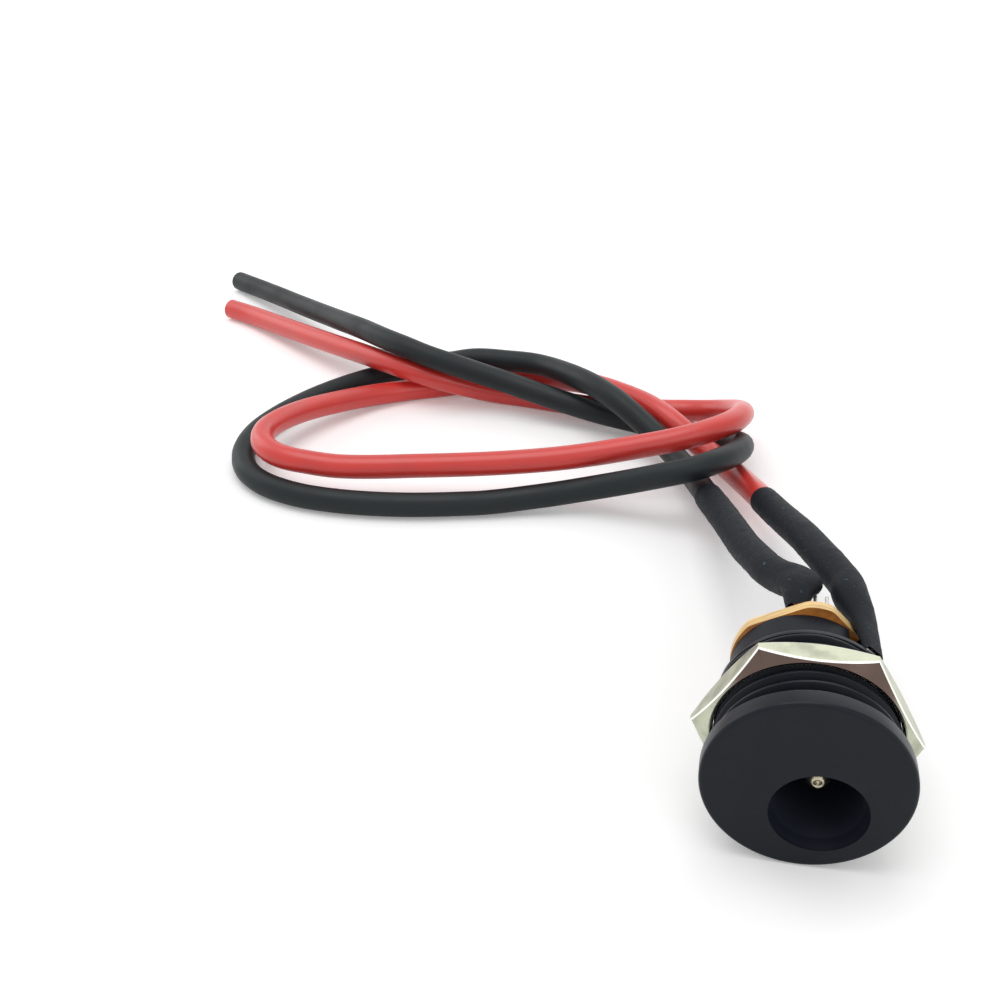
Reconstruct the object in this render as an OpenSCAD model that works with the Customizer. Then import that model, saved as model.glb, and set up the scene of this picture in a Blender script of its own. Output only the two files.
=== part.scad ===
// Panel-mount barrel power socket with two soldered leads, lying on its side.
// The socket's axis runs along +Y, its mouth faces -Y and +Z is up.
// The origin is on the axis, on the plane where the flange seats on a panel.

/* [Housing] */
// How far the flange stands out past the barrel
flange_lip = 0.75; // [0.7:0.05:1.5]
// Thickness of the front flange
flange_t = 1.5; // [1.2:0.1:2.5]
// Radius on the flange's front edge
flange_edge_r = 0.3; // [0.1:0.05:0.6]
// Outer diameter of the threaded barrel
barrel_d = 12.5; // [12.4:0.1:13]
// Length of the threaded barrel behind the flange
barrel_len = 7.5; // [7:0.1:9]
// Length of the plain rim at the rear end of the barrel
rim_len = 0.45; // [0.3:0.05:0.6]
// Chamfer on that rim
barrel_chamfer = 0.15; // [0.1:0.05:0.2]
// Distance from one turn of the thread to the next
thread_pitch = 1; // [0.8:0.05:1.2]
// Depth of the thread
thread_depth = 0.6; // [0.4:0.05:0.6]
// Diameter of the plain tail
tail_d = 10.3; // [9.9:0.1:10.4]
// Sideways place of the tail's own axis
tail_x = -0.25; // [-0.3:0.05:-0.1]
// Height of the tail's own axis
tail_z = -0.4; // [-0.45:0.05:-0.2]
// Length of the plain tail
tail_len = 3.6; // [3:0.1:5]

/* [Plug socket] */
// Bore that takes the plug's barrel
socket_d = 6; // [5.7:0.1:6.1]
// Mouth of the bore at the front face
socket_mouth_d = 6.5; // [6.3:0.1:7]
// Distance from the housing's axis to the bore's axis
socket_offset = 2.35; // [1.8:0.05:2.35]
// Direction of that offset, from +X towards +Z
socket_angle = -65; // [-90:1:-50]

/* [Centre pin] */
// Diameter of the pin
pin_d = 2.1; // [1.6:0.1:2.5]
// Distance of the pin's tip behind the front face
pin_recess = 2.9; // [2:0.1:4]
// Diameter of the pin's flat tip
pin_tip_d = 1; // [0.8:0.1:1.4]
// Length of the taper at the tip
pin_taper_len = 0.8; // [0.4:0.1:1.2]
// Dimple in the tip
pin_dimple_d = 0.5; // [0.3:0.05:0.6]
// Diameter of the shank behind the socket's floor
shank_d = 1.5; // [1.2:0.1:1.8]
// Diameter of the riveted head on the shank
rivet_d = 2.2; // [2:0.1:2.6]
// Height of the riveted head
rivet_h = 0.5; // [0.3:0.1:0.8]

/* [Hex nut] */
// Thickness of the nut
nut_t = 2; // [1.5:0.1:3]
// Distance from the flange's seat to the nut
nut_y = 3.15; // [1:0.05:4]
// Radial room between the nut and the barrel
nut_clear = 0.06; // [0.03:0.01:0.1]
// Angle of the chamfer on the nut's corners
nut_chamfer_angle = 30; // [20:1:40]
// Depth of the countersink at each end of the nut's bore
nut_sink = 0.2; // [0.1:0.05:0.25]

/* [Rear plate] */
// Diameter of the plate
plate_d = 10.8; // [10.7:0.1:11]
// Thickness of the plate
plate_t = 0.8; // [0.6:0.1:1.2]
// Distance from the axis to the flat beside the side lug
plate_flat = 4.65; // [4.5:0.05:4.75]
// Distance from the axis to the flat at the upper left
plate_top_flat = 4.9; // [4.8:0.05:5.2]
// Diameter of the two moulded pegs that hold the plate
peg_d = 1; // [0.8:0.1:1.1]
// Diameter of the staked heads on the pegs
peg_head_d = 1.6; // [1.4:0.1:1.8]
// Height of the staked heads
peg_head_h = 0.4; // [0.3:0.1:0.6]

/* [Contacts] */
// Thickness of the sheet metal contacts
strip_t = 0.3; // [0.25:0.01:0.35]
// Width of the side contact
side_w = 1; // [0.9:0.1:1.1]
// Direction of the side contact, from +X towards +Z
side_angle = 45; // [40:1:50]
// Distance from the axis to the middle of the side lug
side_r = 5.5; // [5.45:0.05:5.6]
// How far the sprung arm stands into the bore
spring_bite = 0.5; // [0.3:0.05:0.6]
// Width of the switch contact
switch_w = 1.1; // [0.8:0.1:1.2]
// Sideways place of the switch contact
switch_x = 0.75; // [0.7:0.05:0.85]
// Height of the switch contact's lug above the axis
switch_z = 3.7; // [3.5:0.05:3.8]
// Width of the pin's solder lug
pin_lug_w = 1; // [0.9:0.1:1.1]
// Sideways place of the pin's solder lug
pin_lug_x = -1.1; // [-1.4:0.05:-1.05]
// Height of the pin's solder lug above the axis
pin_lug_z = 4; // [3.8:0.05:4.2]
// Length of the solder lugs behind the plate
lug_len = 3; // [2.9:0.1:3.4]
// Diameter of the holes in the solder lugs
lug_hole_d = 0.7; // [0.5:0.1:0.7]

/* [Leads] */
// Outer diameter of the insulated wire
wire_d = 2.4; // [2.2:0.05:2.4]
// Diameter of the bare strands
strand_d = 0.8; // [0.7:0.05:0.85]
// Length of bare strands that is soldered to a lug
strand_lap = 2; // [1.9:0.1:2.1]
// Radius of a solder bead
solder_r = 0.64; // [0.62:0.02:0.66]
// Wall of the shrunk sleeves
sleeve_wall = 0.15; // [0.12:0.01:0.2]

/* [Hidden] */
$fn = 64;

// Room between fixed pieces that pass through each other
fit_gap = 0.04;
// Room round the contacts in their pockets
pocket_gap = 0.12;
// Extra length of a cut past a surface
past = 0.5;
// Room past the contacts' tips and under the side contact's step, and the rim of the strap's eye
tip_room = 2 * strip_t;
pocket_depth = 2.5 * strip_t;
eye_rim = 0.3;
// Metal left between a lug's hole and its end
hole_edge = 0.25;
// Solder: its rise over the strands and its distance from the lap's ends
bead_rise = 0.12;
bead_end = 0.1;

flange_d = barrel_d + 2 * flange_lip;
front_y = -flange_t;
floor_y = barrel_len;
rear_y = barrel_len + tail_len;
plate_y = rear_y + plate_t;
lug_end_y = plate_y + lug_len;
table_z = -flange_d / 2;
rest_z = table_z + wire_d / 2;
socket_x = socket_offset * cos(socket_angle);
socket_z = socket_offset * sin(socket_angle);
pin_tip_y = front_y + pin_recess;
nut_bore_r = barrel_d / 2 + nut_clear;
// The nut's flats lie just inside the flange's rim
nut_in = 0.2;
nut_af = flange_d - 2 * nut_in;
nut_corner_r = nut_af / 2 / cos(30);
nut_face_in = 0.1;

// Thread: a ridge wound on a plain core. Its half widths and its place at the top are in turns
core_r = barrel_d / 2 - thread_depth;
ridge_root = 0.39;
ridge_crest = 0.1;
ridge_phase = 0.75;
ridge_sink = 0.06;
ridge_step = 15;
ridge_fade = 90;
ridge_start = -360 * (ridge_phase + 0.5);
ridge_end = 90 * floor(4 * (floor_y / thread_pitch - ridge_root - ridge_phase));
// Rim behind the thread, just below its crests
rim_in = 0.1;
rim_slope = 0.15;
rim_r = barrel_d / 2 - rim_in;

// Side contact: a lug outside the tail, a step in through the tail, and a sprung arm in the socket
side_lean = side_angle - socket_angle;
socket_edge_r = socket_offset * cos(side_lean)
    + sqrt(pow(socket_d / 2, 2) - pow(socket_offset * sin(side_lean), 2));
arm_len = 3.2;
arm_rise = 2.3;
arm_toe_len = 1.4;
arm_toe_rise = 1.2;
step_back = 0.3;
step_y = floor_y + step_back;
bump_y = step_y - arm_len;
bump_r = socket_edge_r - spring_bite + strip_t / 2;
root_r = bump_r + arm_rise;
strip_bend = 0.35;

// Switch contact: its tip lies just inside the sprung arm, which lifts off it when a plug goes in
switch_bend_back = 2;
switch_tip_back = 1.5;
switch_bend_y = floor_y + switch_bend_back;
switch_tip_y = bump_y + switch_tip_back;
arm_slope = arm_rise / arm_len;
arm_inner_r = bump_r + (switch_tip_y - bump_y) * arm_slope - strip_t / 2 * sqrt(1 + pow(arm_slope, 2));
switch_edge_x = switch_x + switch_w / 2;
switch_half_t = strip_t * 0.75;
switch_tip_z = (arm_inner_r - fit_gap - switch_edge_x * cos(side_angle)) / sin(side_angle) - switch_half_t;

// Pegs that hold the plate, as [x, z]
peg_places = [[-3.5, 0.8], [-3.1, -2.3]];
// Direction of the plate's second flat
plate_top_angle = 119;

// Leads as laid on the table: [x, y, height of the wire above where it rests]
red_lay = [
    [2.7, 17.2, 9.15], [1.6, 20.8, 8.55], [0.1, 27.5, 6.75], [-1.6, 35, 4.2], [-2.9, 39.5, 2.8],
    [-5.6, 46.9, 0.9], [-7.3, 50.2, 0.5], [-8.9, 52, 0.7], [-10.9, 53.3, 1.6], [-13.2, 54.7, 2.6],
    [-15.6, 56.7, 2.95], [-19.1, 59.1, 2.9], [-21.8, 61.1, 2.5], [-24.4, 63.7, 1.45],
    [-26.5, 65.4, 0.6], [-28.7, 66.1, 0.2], [-31.2, 66.1, 0], [-34, 65.2, 0], [-38.6, 62.7, 0],
    [-43.2, 60.5, 0], [-46, 58.4, 0.25], [-48.8, 55.2, 0.8], [-51.2, 51.3, 1.55],
    [-52.7, 47.6, 2.15], [-53.3, 44.6, 2.4], [-52.8, 42.3, 2.45], [-51.7, 40.8, 2.45],
    [-50.1, 39.8, 2.4], [-48, 39.4, 2.3], [-43.6, 39.4, 2.1], [-36.1, 40.6, 2.3],
    [-28.1, 41.8, 2.8], [-21.2, 43.2, 3.45], [-13.7, 45.5, 4.4], [-10, 47, 4.95],
    [-7.8, 48.6, 5.15], [-6.4, 50.5, 5], [-5.7, 52.8, 4.5], [-5.6, 55.3, 3.6], [-6.3, 57.7, 2.5],
    [-7.5, 59.5, 1.5], [-9.3, 60.7, 0.7], [-11.5, 61.3, 0.2], [-14.6, 61.2, 0], [-20.1, 60.6, 0],
    [-24.4, 60.9, 0.05], [-29.8, 61.8, 0], [-32.9, 61.9, 0.15], [-35.9, 61.3, 0.9], [-39, 60.4, 2],
    [-41.4, 60.4, 2.6], [-43.9, 61.3, 2.8], [-47.9, 63.7, 2.55], [-54.5, 68.4, 1.7],
    [-60.9, 73.3, 0.75], [-66.4, 77.3, 0.1], [-70.3, 79.3, 0]];
black_lay = [
    [-1.6, 17, 9.75], [-2.8, 19.4, 8.55], [-4.6, 25.5, 6.5], [-6.4, 33.2, 4.35], [-8, 39.8, 2.4],
    [-9.9, 45.8, 1.05], [-11.3, 48.7, 0.85], [-12.8, 50.8, 1.25], [-15, 52.6, 2.35],
    [-18.1, 54.5, 3.9], [-20.5, 56.4, 4.4], [-23.1, 59.1, 4.15], [-26.4, 62.5, 3.4],
    [-28.8, 64.1, 3], [-31.6, 64.8, 2.75], [-35.5, 65.2, 2.5], [-38.8, 65.7, 1.55],
    [-41.5, 66.2, 0.7], [-43.7, 65.8, 0.25], [-45.9, 64.4, 0.05], [-48.9, 61.5, 0], [-52, 57.4, 0],
    [-54.3, 53.1, 0], [-55.6, 49.3, 0], [-55.9, 46, 0], [-55.4, 43.2, 0], [-54.2, 40.7, 0],
    [-52.3, 38.8, 0], [-49.9, 37.5, 0], [-46.5, 36.6, 0], [-41.7, 36.4, 0], [-36.2, 37, 0],
    [-29.9, 38.5, 0], [-23.7, 40.3, 0.5], [-19.6, 41, 1.3], [-15.3, 40.8, 2.75],
    [-11.8, 40.4, 4.15], [-9.7, 40.9, 4.65], [-8, 42.2, 4.75], [-6.6, 44.3, 4.4],
    [-5.6, 47.1, 3.65], [-5.4, 49.9, 2.75], [-6.2, 52.4, 1.7], [-7.5, 54.4, 0.9],
    [-9.5, 55.9, 0.25], [-11.9, 56.9, 0], [-15.2, 57.5, 0.1], [-20.8, 57.8, 0.9],
    [-26.5, 58.9, 1.75], [-31.2, 59.8, 2.6], [-36.4, 59.8, 4], [-39.9, 60, 4.85],
    [-42.6, 60.9, 5.3], [-45.4, 62.8, 5.2], [-49.1, 66.4, 4.55], [-54.5, 72.2, 3.05],
    [-60.2, 78, 1.7], [-66.2, 83.4, 0.75], [-72.6, 88.5, 0]];
// How many laid points each sleeve reaches along its lead
red_sleeve_points = 5;
black_sleeve_points = 5;

function laid(points) = [for (p = points) [p.x, p.y, rest_z + p.z]];
red_route = laid(red_lay);
black_route = laid(black_lay);

// Outward direction of each lead's lug, which sets how its rings are turned
red_up = [cos(side_angle), 0, sin(side_angle)];
black_up = [0, 0, 1];

// Places along the side lug and the pin's lug, and the place short of a lead's insulation by a gap
function beside(y, r) = [r * cos(side_angle), y, r * sin(side_angle)];
function above(y, z) = [pin_lug_x, y, z];
function short_of(route, gap) = route[0] - gap * unit(route[1] - route[0]);

// Bare strands, laid on the inner side of the side lug and on top of the pin's lug
lap_y = lug_end_y - strand_lap;
bend_y = lug_end_y + 0.1;
strand_short = 0.15;
side_strand_r = side_r - (strip_t + strand_d) / 2;
pin_strand_z = pin_lug_z + (strip_t + strand_d) / 2;
red_strand_route = [beside(lap_y, side_strand_r), beside(bend_y, side_strand_r),
    short_of(red_route, strand_short)];
black_strand_route = [above(lap_y, pin_strand_z), above(bend_y, pin_strand_z),
    short_of(black_route, strand_short)];

// Room inside the sleeves: round the wire, over a strip and beside it, and over and beside the soldered lap
wire_room = 0.03;
strip_room = 0.08;
edge_room = 0.2;
neck_room = 0.3;
lap_room = 0.3;
lap_edge_room = 0.28;
// Gaps that the sleeves' sections keep along the lugs, and their length over the wire's front end
step_gap = 0.1;
lead_in = 0.4;
// How far the corners of a flat section stand out, against those of an oval
flat_full = 1.3;

// Sleeve sections before the wire begins: [place, half width, half height, fullness of the corners]
lap_r = side_r - strand_d / 2;
lap_z = pin_lug_z + strand_d / 2;
flat_b = strip_t / 2 + strip_room + sleeve_wall;
neck_b = strip_t / 2 + neck_room + sleeve_wall;
lap_b = (strip_t + strand_d) / 2 + lap_room + sleeve_wall;
side_a = side_w / 2 + edge_room + sleeve_wall;
neck_a = pin_lug_w / 2 + edge_room + sleeve_wall;
red_lap_a = side_w / 2 + lap_edge_room + sleeve_wall;
black_lap_a = pin_lug_w / 2 + lap_edge_room + sleeve_wall;
wire_a = wire_d / 2 + wire_room + sleeve_wall;
red_collar = [
    [beside(step_y + strip_t / 2 + step_gap, side_r), side_a, flat_b, flat_full],
    [beside(plate_y + step_gap, side_r), side_a, flat_b, flat_full],
    [beside(lap_y - step_gap, lap_r), red_lap_a, lap_b, 1],
    [beside(bend_y, lap_r), red_lap_a, lap_b, 1],
    [short_of(red_route, lead_in), wire_a, wire_a, 1]];
black_collar = [
    [above(plate_y + strip_t + step_gap, pin_lug_z), neck_a, neck_b, 1],
    [above(lap_y - step_gap, lap_z), black_lap_a, lap_b, 1],
    [above(bend_y, lap_z), black_lap_a, lap_b, 1],
    [short_of(black_route, lead_in), wire_a, wire_a, 1]];

// Sheet strips: a path with rounded bends, given a thickness
function unit(v) = v / norm(v);
function turned(v) = [-v.y, v.x];
function rounded(path, r) = [for (i = [0:len(path) - 1])
    each (i == 0 || i == len(path) - 1) ? [path[i]] :
        let (a = path[i] + r * unit(path[i - 1] - path[i]), b = path[i] + r * unit(path[i + 1] - path[i]))
        [for (t = [0:0.25:1]) (1 - t) * (1 - t) * a + 2 * t * (1 - t) * path[i] + t * t * b]];
function strip_normal(path, i) =
    let (n = len(path) - 1,
         before = turned(unit(path[max(i, 1)] - path[max(i, 1) - 1])),
         after = turned(unit(path[min(i + 1, n)] - path[min(i, n - 1)])))
    (before + after) / (1 + before * after);
function strip_outline(path, t) = concat(
    [for (i = [0:len(path) - 1]) path[i] + strip_normal(path, i) * t / 2],
    [for (i = [len(path) - 1:-1:0]) path[i] - strip_normal(path, i) * t / 2]);

// Tubes swept along a route
SIDES = 8;
function ahead(route, i) = unit(route[min(i + 1, len(route) - 1)] - route[max(i - 1, 0)]);
function ring(route, i, up, a, b, full = 1) =
    let (t = ahead(route, i), side = unit(cross(t, up)), top = cross(side, t))
    [for (k = [0:SIDES - 1])
        let (angle = 360 * k / SIDES, grow = k % 2 == 0 ? 1 : full)
        route[i] + grow * (a * cos(angle) * side + b * sin(angle) * top)];
// Side faces between rings m and n, and the same faces turned over
function band(m, n, count = SIDES) = [for (k = [0:count - 1])
    let (next = (k + 1) % count,
         a = m * count + k, b = m * count + next, c = n * count + next, d = n * count + k)
    each [[a, b, c], [a, c, d]]];
function flipped(faces) = [for (f = faces) [for (k = [len(f) - 1:-1:0]) f[k]]];

module wire(route, up, r) {
    n = len(route);
    points = [for (i = [0:n - 1]) each ring(route, i, up, r, r)];
    sides = [for (i = [0:n - 2]) each band(i, i + 1)];
    first = [for (k = [SIDES - 1:-1:0]) k];
    last = [for (k = [0:SIDES - 1]) (n - 1) * SIDES + k];
    polyhedron(points, flipped(concat(sides, [first, last])), convexity = 10);
}

// A hollow sleeve: its collar over the lug, then its lead's own route
module sleeve(collar, lead, count, up) {
    rows = concat(collar, [for (i = [0:count - 1]) [lead[i], wire_a, wire_a, 1]]);
    route = [for (row = rows) row[0]];
    n = len(rows);
    outer = [for (i = [0:n - 1]) each ring(route, i, up, rows[i][1], rows[i][2], rows[i][3])];
    inner = [for (i = [0:n - 1])
        each ring(route, i, up, rows[i][1] - sleeve_wall, rows[i][2] - sleeve_wall, rows[i][3])];
    walls = concat(
        [for (i = [0:n - 2]) each band(i, i + 1)],
        [for (i = [0:n - 2]) each flipped(band(n + i, n + i + 1))]);
    ends = concat(flipped(band(0, n)), band(n - 1, 2 * n - 1));
    polyhedron(concat(outer, inner), flipped(concat(walls, ends)), convexity = 10);
}

// Draws its children's X, Y plane across the socket, with their Z along the axis from y
module across(y) translate([0, y, 0]) rotate([90, 0, 0]) mirror([0, 0, 1]) children();
// Turns its children so that their Z points in a direction across the axis
module facing(angle) rotate([0, 90 - angle, 0]) children();
// A sheet strip of the given width, from its path in the Y, Z plane
module strip(path, width) {
    rotate([90, 0, 90]) linear_extrude(width, center = true)
        polygon(strip_outline(rounded(path, strip_bend), strip_t));
}
module at_socket() translate([socket_x, socket_z, 0]) children();
module lug_hole() {
    translate([0, lug_end_y - lug_hole_d / 2 - hole_edge, 0])
        cylinder(d = lug_hole_d, h = past, center = true);
}

module housing_blank() {
    corner = [flange_d / 2 - flange_edge_r, front_y + flange_edge_r];
    edge = [for (a = [-90:15:0]) corner + flange_edge_r * [cos(a), sin(a)]];
    across(0) rotate_extrude() polygon(concat([[0, front_y]], edge, [
        [flange_d / 2, 0],
        [core_r, 0],
        [core_r, floor_y - rim_len - rim_slope],
        [rim_r, floor_y - rim_len],
        [rim_r, floor_y - barrel_chamfer],
        [rim_r - barrel_chamfer, floor_y],
        [0, floor_y]]));
    across(floor_y - past) translate([tail_x, tail_z, 0]) cylinder(d = tail_d, h = tail_len + past);
}

// Section of the thread's ridge at an angle round the barrel, from the top towards +X
function ridge_section(angle) =
    let (y = thread_pitch * (ridge_phase + angle / 360),
         crest_r = core_r + thread_depth * min(1, (ridge_end - angle) / ridge_fade),
         root_r = core_r - ridge_sink)
    [for (p = [[root_r, -ridge_root], [crest_r, -ridge_crest],
               [crest_r, ridge_crest], [root_r, ridge_root]])
        [p.x * sin(angle), y + p.y * thread_pitch, p.x * cos(angle)]];

module thread() {
    sections = [for (angle = [ridge_start:ridge_step:ridge_end]) ridge_section(angle)];
    n = len(sections);
    corners = len(sections[0]);
    sides = [for (i = [0:n - 2]) each band(i, i + 1, corners)];
    first = [for (k = [corners - 1:-1:0]) k];
    last = [for (k = [0:corners - 1]) (n - 1) * corners + k];
    polyhedron([for (section = sections) each section], concat(sides, [first, last]), convexity = 10);
}

module socket_cut() {
    mouth = (socket_mouth_d - socket_d) / 2;
    across(front_y) at_socket() {
        cylinder(d = socket_d, h = floor_y - front_y);
        translate([0, 0, -past]) cylinder(d = socket_mouth_d, h = past);
        cylinder(d1 = socket_mouth_d, d2 = socket_d, h = mouth);
    }
    across(floor_y - past) at_socket() cylinder(d = shank_d + 2 * fit_gap, h = tail_len + 2 * past);
}

// Pockets for the sprung arm, its step out through the tail, and the switch contact
module contact_cut() {
    slot_w = side_w + 2 * pocket_gap;
    slot_top = root_r + strip_t + pocket_gap;
    toe_y = bump_y - arm_toe_len - tip_room;
    facing(side_angle) translate([-slot_w / 2, toe_y, 0]) cube([slot_w, floor_y - toe_y, slot_top]);
    facing(side_angle) translate([-slot_w / 2, floor_y - fit_gap, root_r - pocket_depth])
        cube([slot_w, tail_len + past, tail_d]);
    switch_slot = switch_w + 2 * pocket_gap;
    switch_low = switch_tip_z - tip_room;
    switch_front = switch_tip_y - tip_room;
    switch_top = switch_z + strip_t / 2 + pocket_gap;
    translate([switch_x - switch_slot / 2, switch_front, switch_low])
        cube([switch_slot, rear_y - switch_front + past, switch_top - switch_low]);
}

module pegs() {
    for (place = peg_places) across(rear_y - past) translate(place) {
        cylinder(d = peg_d, h = past + plate_t + peg_head_h / 2);
        translate([0, 0, past + plate_t]) cylinder(d1 = peg_head_d, d2 = peg_d, h = peg_head_h);
    }
}

module housing() {
    color("#1d1e20") {
        difference() {
            union() {
                housing_blank();
                thread();
            }
            socket_cut();
            contact_cut();
        }
        pegs();
    }
}

module hex_nut() {
    chamfer_r = nut_af / 2 - nut_face_in;
    chamfer_h = (nut_corner_r - chamfer_r) * tan(nut_chamfer_angle);
    color("#c9c6bd") across(nut_y) difference() {
        intersection() {
            cylinder(r = nut_corner_r, h = nut_t, $fn = 6);
            rotate_extrude() polygon([[0, 0], [chamfer_r, 0], [nut_corner_r, chamfer_h],
                [nut_corner_r, nut_t - chamfer_h], [chamfer_r, nut_t], [0, nut_t]]);
        }
        translate([0, 0, -past]) cylinder(r = nut_bore_r, h = nut_t + 2 * past);
        cylinder(r1 = nut_bore_r + nut_sink, r2 = nut_bore_r, h = nut_sink);
        translate([0, 0, nut_t - nut_sink])
            cylinder(r1 = nut_bore_r, r2 = nut_bore_r + nut_sink, h = nut_sink);
    }
}

module center_pin() {
    head_y = plate_y + strip_t;
    color("#c8b273") across(0) at_socket() rotate_extrude() polygon([
        [0, pin_tip_y + pin_dimple_d / 2],
        [pin_dimple_d / 2, pin_tip_y],
        [pin_tip_d / 2, pin_tip_y],
        [pin_d / 2, pin_tip_y + pin_taper_len],
        [pin_d / 2, floor_y],
        [shank_d / 2, floor_y],
        [shank_d / 2, head_y],
        [rivet_d / 2, head_y],
        [shank_d / 2, head_y + rivet_h],
        [0, head_y + rivet_h]]);
}

module rear_plate() {
    color("#c98a3c") across(rear_y) linear_extrude(plate_t) difference() {
        intersection() {
            circle(d = plate_d);
            rotate(side_angle) translate([plate_flat - 2 * plate_d, -plate_d]) square(2 * plate_d);
            rotate(plate_top_angle) translate([plate_top_flat - 2 * plate_d, -plate_d]) square(2 * plate_d);
        }
        at_socket() circle(d = shank_d + 2 * fit_gap);
        translate([switch_x, switch_z]) square([switch_w, strip_t] + 2 * fit_gap * [1, 1], center = true);
        for (place = peg_places) translate(place) circle(d = peg_d + 2 * fit_gap);
    }
}

// Flat strap under the pin's riveted head, with a solder lug bent back from its upper end
module pin_lug() {
    foot = [pin_lug_x, pin_lug_z + strip_t / 2];
    reach = foot - [socket_x, socket_z];
    color("#b9b4a6") {
        across(plate_y) linear_extrude(strip_t) difference() {
            union() {
                at_socket() circle(d = rivet_d + 2 * eye_rim);
                at_socket() rotate(atan2(reach.y, reach.x) - 90) translate([-pin_lug_w / 2, 0])
                    square([pin_lug_w, norm(reach) - pin_lug_w]);
                translate(foot - [pin_lug_w / 2, 2 * pin_lug_w]) square([pin_lug_w, 2 * pin_lug_w]);
            }
            at_socket() circle(d = shank_d + 2 * fit_gap);
        }
        difference() {
            translate([pin_lug_x - pin_lug_w / 2, plate_y, pin_lug_z - strip_t / 2])
                cube([pin_lug_w, lug_len, strip_t]);
            translate([pin_lug_x, 0, pin_lug_z]) lug_hole();
        }
    }
}

module side_contact() {
    toe = [bump_y - arm_toe_len, bump_r + arm_toe_rise];
    color("#b9b4a6") facing(side_angle) difference() {
        strip([[lug_end_y, side_r], [step_y, side_r], [step_y, root_r], [bump_y, bump_r], toe], side_w);
        translate([0, 0, side_r]) lug_hole();
    }
}

module switch_contact() {
    color("#b9b4a6") translate([switch_x, 0, 0]) difference() {
        strip([[lug_end_y, switch_z], [switch_bend_y, switch_z], [switch_tip_y, switch_tip_z]], switch_w);
        translate([0, 0, switch_z]) lug_hole();
    }
}

module red_wire() color("#d63a36") wire(red_route, red_up, wire_d / 2);
module black_wire() color("#26282a") wire(black_route, black_up, wire_d / 2);

module red_strands() color("#c9803f") wire(red_strand_route, red_up, strand_d / 2);
module black_strands() color("#c9803f") wire(black_strand_route, black_up, strand_d / 2);

// A bead that wraps the strands, drawn below the lug's face at the given height
module solder(height) {
    low = lap_y + solder_r + bead_end;
    high = lug_end_y - solder_r - bead_end;
    strand_z = height - strand_d / 2;
    difference() {
        intersection() {
            translate([0, 0, strand_z + bead_rise]) {
                translate([0, low, 0]) rotate([-90, 0, 0]) cylinder(r = solder_r, h = high - low);
                for (y = [low, high]) translate([0, y, 0]) sphere(solder_r);
            }
            translate([-solder_r, lap_y, height - 2 * solder_r])
                cube([2 * solder_r, strand_lap, 2 * solder_r]);
        }
        translate([0, lap_y - past, strand_z]) rotate([-90, 0, 0])
            cylinder(d = strand_d + fit_gap, h = strand_lap + 2 * past);
    }
}
module red_solder() color("#b7babd") facing(side_angle) solder(side_r - strip_t / 2);
module black_solder() {
    color("#b7babd") translate([pin_lug_x, 0, pin_lug_z]) mirror([0, 0, 1]) solder(-strip_t / 2);
}

module red_sleeve() color("#1b1c1e") sleeve(red_collar, red_route, red_sleeve_points, red_up);
module black_sleeve() color("#1b1c1e") sleeve(black_collar, black_route, black_sleeve_points, black_up);

housing();
hex_nut();
center_pin();
rear_plate();
pin_lug();
side_contact();
switch_contact();
red_wire();
black_wire();
red_strands();
black_strands();
red_solder();
black_solder();
red_sleeve();
black_sleeve();
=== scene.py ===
"""A barrel power socket with soldered red and black leads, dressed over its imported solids."""

import math

import bpy
from mathutils import Matrix, Vector, noise


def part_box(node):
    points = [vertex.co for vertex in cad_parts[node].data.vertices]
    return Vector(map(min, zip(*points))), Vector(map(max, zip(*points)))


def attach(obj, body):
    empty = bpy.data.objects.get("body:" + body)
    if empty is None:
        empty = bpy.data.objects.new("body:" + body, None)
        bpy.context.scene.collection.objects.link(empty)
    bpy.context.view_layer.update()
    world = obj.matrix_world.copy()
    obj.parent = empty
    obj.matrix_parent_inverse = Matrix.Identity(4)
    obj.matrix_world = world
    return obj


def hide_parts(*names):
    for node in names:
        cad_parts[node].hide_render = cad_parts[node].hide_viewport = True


bl_info = {
    "name": "Barrel power socket",
    "version": (1, 0, 0),
    "blender": (4, 5, 0),
    "location": "3D View > Sidebar > Power socket",
    "description": "Models a panel-mount barrel power socket, its nut, contacts and soldered leads",
    "category": "Add Mesh",
}

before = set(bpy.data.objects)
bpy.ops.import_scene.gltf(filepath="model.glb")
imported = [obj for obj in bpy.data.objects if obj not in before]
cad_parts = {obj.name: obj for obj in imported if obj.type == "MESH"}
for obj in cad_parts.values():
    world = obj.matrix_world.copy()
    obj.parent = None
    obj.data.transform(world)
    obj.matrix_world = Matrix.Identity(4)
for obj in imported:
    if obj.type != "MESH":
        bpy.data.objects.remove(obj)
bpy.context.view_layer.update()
MM = 0.001

HOUSING_LOW, HOUSING_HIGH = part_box("housing")
NUT_LOW, NUT_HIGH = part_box("hex_nut")
PLATE_LOW, PLATE_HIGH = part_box("rear_plate")
PIN_LOW, PIN_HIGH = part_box("center_pin")
STRAP_LOW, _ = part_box("pin_lug")
SWITCH_LOW, SWITCH_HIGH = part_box("switch_contact")
TABLE_Z = HOUSING_LOW.z

# Axes along Y that pieces share, as x and z
SOCKET_AXIS = ((PIN_LOW.x + PIN_HIGH.x) / 2, (PIN_LOW.z + PIN_HIGH.z) / 2)
TAIL_AXIS = (-0.25 * MM, -0.4 * MM)
PEG_AXES = ((-3.5 * MM, 0.8 * MM), (-3.1 * MM, -2.3 * MM))

# How far a cutter reaches past what it cuts, and how close two points are that count as one
PAST = 0.5 * MM
SAME_SPOT = 1e-6

# The camera, in metres, radians and millimetres of lens and sensor
CAMERA_PLACE = Vector((-7.99, -66.19, 59.56)) * MM
CAMERA_PITCH = math.radians(31.297)
CAMERA_YAW = math.radians(10.688)
CAMERA_LENS = 46.8
CAMERA_SENSOR = 36

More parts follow.
